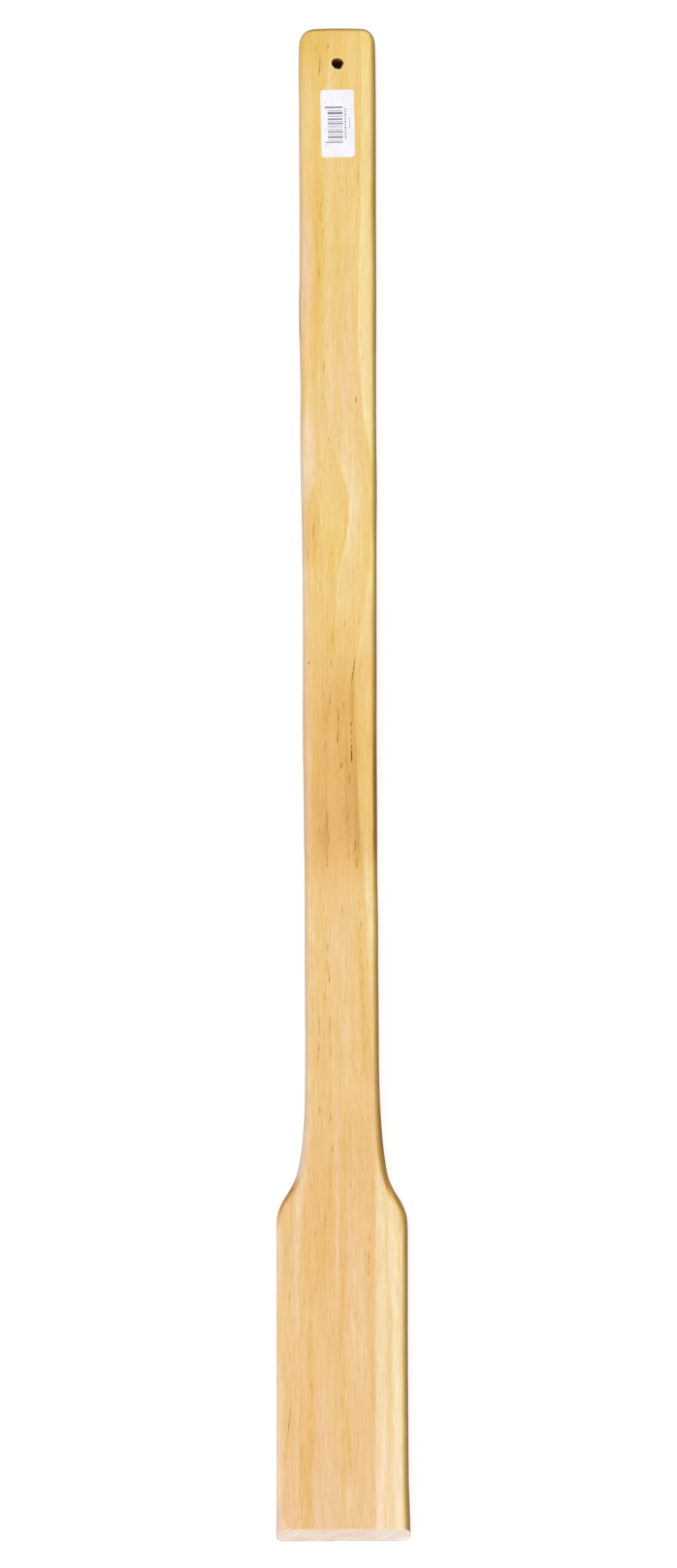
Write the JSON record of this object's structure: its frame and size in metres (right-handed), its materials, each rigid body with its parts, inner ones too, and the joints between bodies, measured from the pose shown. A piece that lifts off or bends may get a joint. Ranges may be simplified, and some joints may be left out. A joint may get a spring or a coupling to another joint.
{
  "type": "mixing paddle",
  "caption": "Long solid pine mixing paddle: straight handle with a hanging hole, curved shoulders, flat rectangular blade with rounded edges, and a small paper label below the hole.",
  "frame": {"origin": "on the back face, at the middle of the paddle's length and width", "axes": "+X across the blade, +Y up the handle, away from the blade, +Z out of the front face; the paddle lies on its back face"},
  "size_m": [0.1, 1.2192, 0.0255],
  "materials": {
    "pine": "satin",
    "label_paper": "matte"
  },
  "bodies": {
    "root": {"paddle_board": "pine", "paper_label": "label_paper"}
  },
  "joints": []
}
